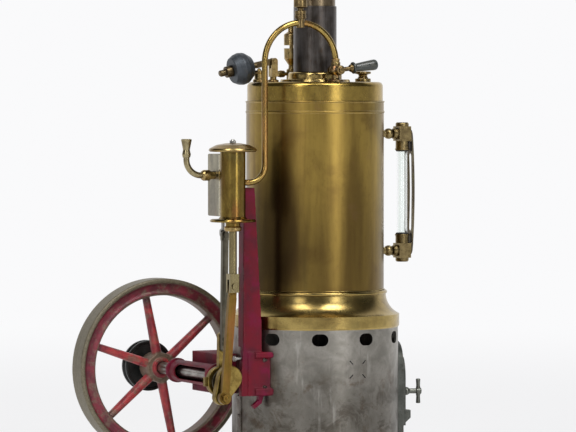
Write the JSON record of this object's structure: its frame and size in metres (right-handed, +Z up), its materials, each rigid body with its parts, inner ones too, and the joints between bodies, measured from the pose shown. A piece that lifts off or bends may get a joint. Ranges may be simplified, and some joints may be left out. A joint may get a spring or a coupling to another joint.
{
  "type": "model steam engine",
  "caption": "Upright brass model boiler on a steel firebox with a side-mounted steam cylinder, red spoked flywheel, belt pulley, water gauge, safety valve, whistle and fire door.",
  "frame": {"origin": "centre of the underside of the base, on the boiler's axis", "axes": "+Z up along the boiler's axis; +X toward the fire door and water gauge; the crankshaft runs along Y on the -X side with the flywheel at +Y"},
  "size_m": [0.1838, 0.155, 0.333],
  "materials": {
    "boiler_brass": "aged, rolled sheet",
    "skirt_brass": "spun, polished",
    "fitting_brass": "turned, tarnished",
    "pipe_brass": "drawn tube",
    "engine_brass": "machined",
    "chest_brass": "grey tarnish",
    "firebox_steel": "stained sheet",
    "chimney_steel": "blackened",
    "crimson_paint": "gloss enamel, worn",
    "base_paint": "enamelled casting",
    "flywheel_paint": "painted spokes, bare tread",
    "pulley_paint": "black enamel",
    "bright_steel": "turned",
    "dark_steel": "oil darkened",
    "weight_steel": "blued",
    "horn": "turned horn",
    "gauge_glass": "clear tube",
    "wick_cotton": "woven"
  },
  "bodies": {
    "engine_frame": {"base": "base_paint", "firebox": "firebox_steel", "skirt": "skirt_brass", "boiler_shell": "boiler_brass", "boiler_cap": "boiler_brass", "boiler_flue": "boiler_brass", "chimney_base": "skirt_brass", "chimney_sleeve": "chimney_steel", "chimney_upper": "chimney_steel", "burner_tank": "fitting_brass", "burner_wicks": "wick_cotton", "door_frame": "firebox_steel", "door_hinge_pin": "bright_steel", "column": "crimson_paint", "bearing_bracket": "crimson_paint", "bearing_bushes": "engine_brass", "bracket_screws": "bright_steel", "cylinder": "engine_brass", "cylinder_head": "engine_brass", "piston_rod_gland": "fitting_brass", "port_plate": "engine_brass", "steam_chest": "chest_brass", "steam_chest_cover": "chest_brass", "engine_screws": "bright_steel", "exhaust_pipe": "fitting_brass", "pipe_unions": "fitting_brass", "steam_pipe": "pipe_brass", "lubricator_cup": "fitting_brass", "stop_valve_body": "fitting_brass", "safety_valve_body": "fitting_brass", "whistle_body": "fitting_brass", "whistle_bell": "fitting_brass", "filler_bush": "fitting_brass", "gauge_fittings": "fitting_brass", "gauge_glass": "gauge_glass", "gauge_guard": "fitting_brass"},
    "crankshaft": {"crankshaft": "bright_steel", "crank_web": "engine_brass", "eccentric_sheave": "dark_steel", "flywheel": "flywheel_paint", "drive_pulley": "pulley_paint", "grub_screws": "bright_steel"},
    "eccentric_strap": {"eccentric_strap": "engine_brass", "valve_rod": "dark_steel"},
    "slide_valve": {"valve_spindle": "bright_steel", "slide_valve": "bright_steel"},
    "piston": {"piston": "bright_steel", "piston_rod": "pipe_brass"},
    "connecting_rod": {"connecting_rod": "engine_brass", "crank_pin_bolt": "fitting_brass"},
    "stop_valve": {"stop_valve_lever": "fitting_brass", "stop_valve_handle": "horn"},
    "safety_valve": {"safety_valve_lever": "bright_steel", "safety_valve_weight": "weight_steel", "weight_nuts": "fitting_brass"},
    "whistle_button": {"whistle_push_button": "fitting_brass"},
    "filler_plug": {"filler_plug": "fitting_brass"},
    "lubricator_cap": {"lubricator_cap": "fitting_brass"},
    "fire_door": {"fire_door": "dark_steel"},
    "door_latch": {"door_latch": "fitting_brass"}
  },
  "joints": [
    {"name": "crankshaft_spin", "type": "hinge", "parent": "engine_frame", "child": "crankshaft", "pos_m": [-0.068, 0, 0.063], "axis": [0, 1, 0], "continuous": true},
    {"name": "eccentric_strap_turn", "type": "hinge", "parent": "crankshaft", "child": "eccentric_strap", "pos_m": [-0.06869, 0, 0.0606], "axis": [0, 1, 0], "continuous": true},
    {"name": "slide_valve_travel", "type": "slide", "parent": "engine_frame", "child": "slide_valve", "axis": [0, 0, 1], "range_m": [-0.0001, 0.0049]},
    {"name": "piston_travel", "type": "slide", "parent": "engine_frame", "child": "piston", "axis": [0, 0, 1], "range_m": [-0.001, 0.023]},
    {"name": "connecting_rod_swing", "type": "hinge", "parent": "piston", "child": "connecting_rod", "pos_m": [-0.068, -0.0345, 0.1155], "axis": [0, 1, 0], "range_deg": [-15.6, 6.1]},
    {"name": "stop_valve_turn", "type": "hinge", "parent": "engine_frame", "child": "stop_valve", "pos_m": [0.0006, -0.0264, 0.2382], "axis": [0, -1, 0], "range_deg": [0, 90]},
    {"name": "safety_valve_lift", "type": "hinge", "parent": "engine_frame", "child": "safety_valve", "pos_m": [-0.024, 0.006, 0.2434], "axis": [0, 1, 0], "range_deg": [0, 12]},
    {"name": "whistle_push", "type": "slide", "parent": "engine_frame", "child": "whistle_button", "axis": [1, 0, 0], "range_m": [0, 0.0015], "stiffness_N_per_m": 200},
    {"name": "filler_plug_lift", "type": "slide", "parent": "engine_frame", "child": "filler_plug", "axis": [0, 0, 1], "range_m": [0, 0.012]},
    {"name": "lubricator_cap_lift", "type": "slide", "parent": "engine_frame", "child": "lubricator_cap", "axis": [0, 0, 1], "range_m": [0, 0.006]},
    {"name": "fire_door_swing", "type": "hinge", "parent": "engine_frame", "child": "fire_door", "pos_m": [0.04957, 0.02053, 0.05], "axis": [0, 0, 1], "range_deg": [0, 110]},
    {"name": "door_latch_turn", "type": "hinge", "parent": "fire_door", "child": "door_latch", "pos_m": [0.05434, -0.01355, 0.0508], "axis": [0.9703, -0.2419, 0], "range_deg": [0, 90]}
  ],
  "couplings": [
    {"joint": "eccentric_strap_turn", "follows": "crankshaft_spin", "ratio": -1}
  ]
}
